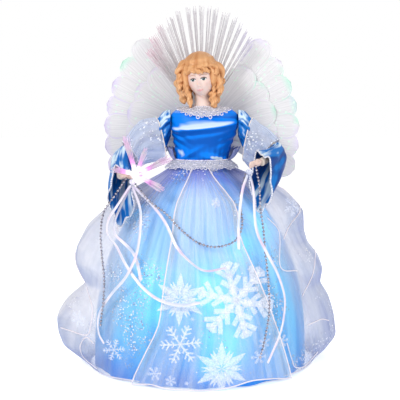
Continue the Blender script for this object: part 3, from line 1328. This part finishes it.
# %% Iridescent film
wing_film, shader, add = new_material(
    "iridescent wing film", "#E9E7E8", Roughness=0.35, Sheen_Weight=0.2, Alpha=0.9)
uv = add("UVMap", uv_map="UVMap")
place = add("TexCoord")
parts = add("SeparateXYZ", {0: uv})
ribs = add("Mapping", {"Vector": uv, "Scale": (11.0, 0.6, 1.0)})
veins = add("TexNoise", {"Vector": ribs, "Scale": 2.0, "Detail": 3.0})
centred = add("Math", {0: parts.outputs["X"], 1: 2.0, 2: -1.0}, operation="MULTIPLY_ADD")
side_share = add("Math", {0: centred}, operation="ABSOLUTE")
rim_share = add("Math", {0: side_share, 1: parts.outputs["Y"]}, operation="MAXIMUM")
rim = add("MapRange", {"Value": rim_share, "From Min": 0.86, "From Max": 0.985})
outer_half = add("MapRange", {"Value": parts.outputs["Y"], "From Min": 0.45, "From Max": 0.8})
rim_out = add("Math", {0: rim, 1: outer_half}, operation="MULTIPLY")
drift = add("TexNoise", {"Vector": place, "Scale": 17.0})
film_tint = add("ValToRGB", {"Fac": drift},
    stops=((0.35, "#E2D8F6"), (0.48, "#F1EFF3"), (0.56, "#C6F4E0"), (0.68, "#DCD8F6")))
base_tint = add("ValToRGB", {"Fac": veins}, stops=((0.3, "#DFDEE1"), (0.6, "#F2F1F3")))
film = add("Mix", {0: rim_out, 6: base_tint, 7: film_tint}, data_type="RGBA")
cells = add("TexVoronoi", {"Vector": place, "Scale": 520.0})
chance = add("SeparateColor", {0: cells.outputs["Color"]})
fleck = add("Math", {0: chance.outputs["Green"], 1: 0.965}, operation="GREATER_THAN")
speckled = add("Mix", {0: fleck, 6: film, 7: colour("#E6FAEE")}, data_type="RGBA")
bump = add("Bump", {"Height": veins, "Strength": 0.35, "Distance": 0.0006})
drive(shader, Base_Color=speckled, Normal=bump)

wing_root = Vector((2, 0, 268.6))


def petal(angle, reach, half, y, turn_out):
    """One blade: a thin wedge from the root that ends in a half round tip, with pressed ribs."""
    root_half, start = 3.6, 13
    lie = Matrix.Rotation(angle, 3, "Y")

    def surface(u, v):
        d = start + (reach - start) * (1.4 * v - 0.4 * v * v)
        if d < reach - half:
            w = root_half + (half - root_half) * (d - start) / (reach - half - start)
        else:
            w = math.sqrt(max(half**2 - (d - reach + half) ** 2, 0))
        side = 2 * u - 1
        cup = 0.16 * math.cos(9 * math.pi * side) * min(1, v * 3) + turn_out * v * v * (1 - side**2)
        return lie @ Vector((side * w, 0, d)) + Vector((0, y - cup, 0)) + wing_root

    return cloth("petal", 28, 30, surface, 0.35, 0)


for side, name in ((-1, "left"), (1, "right")):
    for layer, count, reach, flare, half, low, high, y in (
        ("middle", 4, 88, 0, 17, 40, 95, 28.2), ("outer", 7, 113, 8, 15, 37, 114, 30.3),
    ):
        blades = []
        for i in range(count):
            share = i / (count - 1)
            angle = side * math.radians(low + (high - low) * share)
            blades.append(petal(angle, reach + flare * (2 * share - 1.2) ** 2, half, y + 0.5 * (i % 2), 0.3))
        fitted(joined("film_wing_%s_%s" % (layer, name), blades), wing_film, "figure", "wing_film",
            "wing_%s_%s" % (layer, name))

# %% [markdown]
# ## Fibres
# The halo and the bouquet are clear plastic fibres. Light enters at one end and leaves at the
# cut tips, so a fibre looks grey along its length and bright at its end. The bouquet is lit
# much harder, white at its middle and pink outwards.

# %% Fibre materials
clear_fibre, shader, add = new_material("clear optical fibre", "#E4E1E6", Roughness=0.2, Alpha=0.7)
place = add("TexCoord")
parts = add("SeparateXYZ", {0: place})
sideways = add("MapRange", {"Value": parts.outputs["X"], "From Min": -0.062, "From Max": 0.066})
tint = add("ValToRGB", {"Fac": sideways},
    stops=((0.0, "#F6DCE6"), (0.2, "#ECE8EC"), (0.78, "#EAE8EC"), (1.0, "#DFD8F4")))
sparkle = add("TexNoise", {"Vector": place, "Scale": 260.0})
spark = add("MapRange", {"Value": sparkle, "From Min": 0.52, "From Max": 0.66, "To Max": 0.7})
bright = add("Mix", {0: spark, 6: tint, 7: colour("#FBFAFC")}, data_type="RGBA")
drive(shader, Base_Color=bright)

bouquet_at = Vector((-68.5, -64.2, 224.3))
lit_fibre, shader, add = new_material("lit fibre bouquet", "#F3C9F3", Roughness=0.25, Alpha=0.72)
place = add("TexCoord")
away = add("VectorMath", {0: place, 1: tuple(bouquet_at * MM)}, operation="DISTANCE")
fade = add("MapRange", {"Value": away, "From Min": 0.004, "From Max": 0.034})
patch = add("TexNoise", {"Vector": place, "Scale": 120.0})
shift = add("Math", {0: patch, 1: 0.7, 2: -0.35}, operation="MULTIPLY_ADD")
hue_at = add("Math", {0: fade, 1: shift}, operation="ADD")
hue = add("ValToRGB", {"Fac": hue_at},
    stops=((0.0, "#FFFFFF"), (0.2, "#FBE6FB"), (0.38, "#F3B4F0"), (0.55, "#F6DCF6"), (0.8, "#EDE6EE"),
        (1.0, "#F3D2F0")))
power = add("MapRange", {"Value": fade, "From Max": 0.5, "To Min": 0.7, "To Max": 0.04})
drive(shader, Base_Color=hue, Emission_Color=hue, Emission_Strength=power)

# %% Halo
halo_centre = Vector((2, 16.5, 283))
halo_left, halo_right = math.radians(-43), math.radians(37)
halo_reach, fibre_root = 125, 29
# Each bunch: the angle of its middle and half its width at the tips, in degrees.
halo_bunches = (
    (-38, 4), (-31, 4), (-24, 3.6), (-18, 2.2), (-13, 1.3), (-7.4, 1.2), (-4, 1.0), (0, 1.4), (4, 1.1),
    (7.6, 1.4), (13.4, 2.2), (19, 1.5), (23.6, 1.2), (28, 1.1), (32, 0.9), (35.5, 0.7))
strands = []
for middle, half in halo_bunches:
    reach = halo_reach * (1 - 0.27 * (middle / 43) ** 2)
    for k in range(round(8 + 7 * half)):
        across, deep = random.uniform(-1, 1), random.uniform(-1.8, 1.8)
        start = math.radians(middle + half * across * 1.15)
        tip = math.radians(middle + half * across)
        length = reach * random.uniform(0.92, 1.0)
        bow = random.uniform(-0.6, 0.6)
        path = []
        for t in (0, 0.5, 1):
            d = fibre_root + (length - fibre_root) * t
            a = start + (tip - start) * t
            x = d * math.sin(a) + bow * math.sin(math.pi * t)
            path.append(halo_centre + Vector((x, deep * (1 + 0.5 * t), d * math.cos(a))))
        strands.append(path)


def comb_point(u, v):
    """The comb that holds the roots of the halo: a flat fan between two radii."""
    r = 10 + 21 * v
    angle = halo_left + (halo_right - halo_left) * u
    return halo_centre + Vector((r * math.sin(angle), 0, r * math.cos(angle)))


halo = tubes("halo_of_fibres", strands, 0.3, 4)
comb_wall = cloth("halo_comb", 40, 8, comb_point, 5, 0)
trunk_route = [(2, 13, 208), (2, 13, 240), (2, 13, 270), (2, 15, 282), (2, 16.5, 294)]
trunk = tubes("fibre_trunk", [trunk_route], 4, 12)
halo = joined("halo_of_fibres", [halo, comb_wall, trunk])
fitted(halo, clear_fibre, "figure", "optical_fibre", "halo_fibres")

# %% Bouquet
# Each spray: its direction, and its length as a share of the common one.
sprays = ((1, -0.28, -0.5, 1.1), (1.05, -0.05, 0.5, 1.35), (0.4, -0.4, 0.9, 1.05),
    (-0.3, 0.1, 1.1, 1.35), (-0.8, -0.35, 0.22, 0.9), (0.35, -0.9, 0.1, 0.7))
spray_length, fibres_in_spray = 33, 32
strands = []
for x, y, z, share in sprays:
    along = Vector((x, y, z)).normalized()
    first = Vector((-z, 0, x)).normalized()
    second = along.cross(first)
    for k in range(fibres_in_spray):
        off, turn = 1.5 * math.sqrt(random.random()), random.uniform(0, 2 * math.pi)
        spread = first * 1.3 * off * math.cos(turn) + second * 0.8 * off * math.sin(turn)
        end = spray_length * share * random.uniform(0.74, 1.0)
        open_out = random.uniform(1.4, 3.0)
        strands.append([bouquet_at + along * 3 + spread, bouquet_at + along * end * 0.5 + spread * 1.4,
            bouquet_at + along * end + spread * open_out])
fibres = tubes("bouquet", strands, 0.24, 4)
hub_radius = 4.6
hub = primitive(bpy.ops.mesh.primitive_ico_sphere_add,
    subdivisions=3, radius=hub_radius * MM, location=bouquet_at * MM)
bpy.ops.object.transform_apply(location=True)
fitted(joined("lit_bouquet", [fibres, hub]), lit_fibre, "left_arm", "optical_fibre", "bouquet_fibres")

# %% Ribbon knots
for side, centre in (("left", (-72.9, -62.3, 215.9)), ("right", (52.3, -59.8, 226.9))):
    centre = Vector(centre)
    loops = []
    for k, (wide, high, lean) in enumerate(((3.0, 2.0, 0.4), (2.6, 2.7, -0.5), (2.2, 1.8, 1.2))):
        turn = Matrix.Rotation(lean, 3, "Y") @ Matrix.Rotation(k * 1.1, 3, "Z")
        loops.append([centre + turn @ Vector((wide * math.cos(a), 0.7 * math.sin(2 * a), high * math.sin(a)))
            for a in [i * math.pi / 12 for i in range(25)]])

    def core_point(u, v):
        turn, rise = 2 * math.pi * u, math.pi * v
        across = 1.7 * math.cos(turn) * math.sin(rise)
        return centre + Vector((across, 1.5 * math.sin(turn) * math.sin(rise), 1.7 * math.cos(rise)))

    core = cloth("knot_core", 16, 10, core_point, 0.3, 0)
    bow = joined("satin_knot_" + side, [tubes("bow", loops, 0.55, 6), core])
    fitted(bow, pearl_ribbon, side + "_arm", "pearl_ribbon", "ribbon_knot_" + side)

# %% [markdown]
# ## The parts that CAD draws well enough
# Cone, socket, lamps, battery box and cells keep their CAD shape. They are moulded plastic and
# plated metal, seen from below, so each gets its own finish.

# %% Finishes for CAD parts
def speckle(name, low, high, scale, **sockets):
    """A plain moulded or plated finish, with faint mottling and a fine grain."""
    return grained(name, high, scale, ((0.3, low), (0.7, high)), (0.15, 0.0002), 4.0, **sockets)


white_cone, _, _ = speckle("moulded polystyrene", "#E4E6E8", "#F2F3F3", 400.0, Roughness=0.5)
lens, _, _ = speckle("lit lamp lens", "#BFF0FF", "#E4FAFF", 300.0, Roughness=0.15,
    Emission_Color=colour("#7FE4FF"), Emission_Strength=1.5)
turned_alloy, _, _ = speckle("turned aluminium", "#B9BCC2", "#D5D8DC", 900.0, Metallic=0.9, Roughness=0.3)
nickel, _, _ = speckle("nickel plated steel", "#B5B5B0", "#D2D1CC", 700.0, Metallic=0.9, Roughness=0.28)
# A cell's printed film is dark, with a copper coloured band at one end.
jacket, shader, add = speckle("cell jacket film", "#2B3440", "#38434F", 600.0, Roughness=0.3)
cell_x = add("SeparateXYZ", {0: add("TexCoord")})
band = add("Math", {0: cell_x.outputs["X"], 1: -0.02}, operation="LESS_THAN")
coat = add("Mix", {0: band, 6: colour("#303A46"), 7: colour("#C9853A")}, data_type="RGBA")
drive(shader, Base_Color=coat)

for nodes, material in (
    (("inner_cone", "light_plate", "tree_socket", "battery_box", "battery_door", "switch_knob",
        "torso_core", "wing_card"), white_cone),
    (("skirt_lamp_1", "skirt_lamp_2", "skirt_lamp_3", "skirt_lamp_4", "fibre_lamp"), lens),
    (("fibre_ferrule",), turned_alloy),
    (("battery_contacts_left", "battery_contacts_right"), nickel),
    (("battery_cell_1", "battery_cell_2", "battery_cell_3"), jacket),
):
    for node in nodes:
        piece = bpy.data.objects[node]
        piece.data.materials.clear()
        piece.data.materials.append(material)
print("CAD parts finished")

# %% [markdown]
# ## Light and floor
# A white studio: the floor and the world show white to the camera, but throw only plain soft
# light. A large lamp from the upper left makes the long highlights in the satin.


# %% Floor, world and lamps
def seen_rays(owner):
    """One for the rays that the camera sees, also through clear cloth, and otherwise nothing."""
    rays = add_node(owner, "LightPath")
    kinds = {0: rays.outputs["Is Camera Ray"], 1: rays.outputs["Is Transmission Ray"]}
    return add_node(owner, "Math", kinds, operation="MAXIMUM")


floor_light, world_light = 0.5, 0.57
floor = primitive(bpy.ops.mesh.primitive_plane_add, size=8, location=(0, 0, 0))
floor.name = "studio_floor"
paper, shader, add = new_material("white paper floor", "#FFFFFF", Roughness=0.9, Emission_Color=(1, 1, 1, 1))
rays = add("LightPath")
seen = add("Math", {0: seen_rays(paper), 1: rays.outputs["Is Glossy Ray"]}, operation="MAXIMUM")
drive(shader, Emission_Strength=add("Math", {0: seen, 1: floor_light}, operation="MULTIPLY"))
floor.data.materials.append(paper)

world = bpy.context.scene.world or bpy.data.worlds.new("studio")
bpy.context.scene.world = world
world.use_nodes = True
world.node_tree.nodes.clear()
strength = add_node(world, "MapRange", {"Value": seen_rays(world), "To Min": world_light, "To Max": 1.0})
sky = add_node(world, "Background", {"Color": (1, 1, 1, 1), "Strength": strength})
add_node(world, "OutputWorld", {"Surface": sky})

lamps_aim = Vector((0, 0, 0.2))
for name, place, size, power in (
    ("key_lamp", (-0.8, -1.1, 1.0), 0.5, 10.5), ("fill_lamp", (1.1, -0.9, 0.6), 0.8, 6.5),
    ("back_lamp", (0.2, 1.2, 1.0), 0.8, 6),
):
    lamp = bpy.data.lights.new(name, "AREA")
    lamp.shape, lamp.size, lamp.energy = "SQUARE", size, power
    holder = in_scene(name, lamp)
    holder.location = place
    holder.rotation_euler = (lamps_aim - Vector(place)).to_track_quat("-Z", "Y").to_euler()
print("studio", floor.name, world.name)
bpy.context.scene.view_settings.view_transform = "Standard"
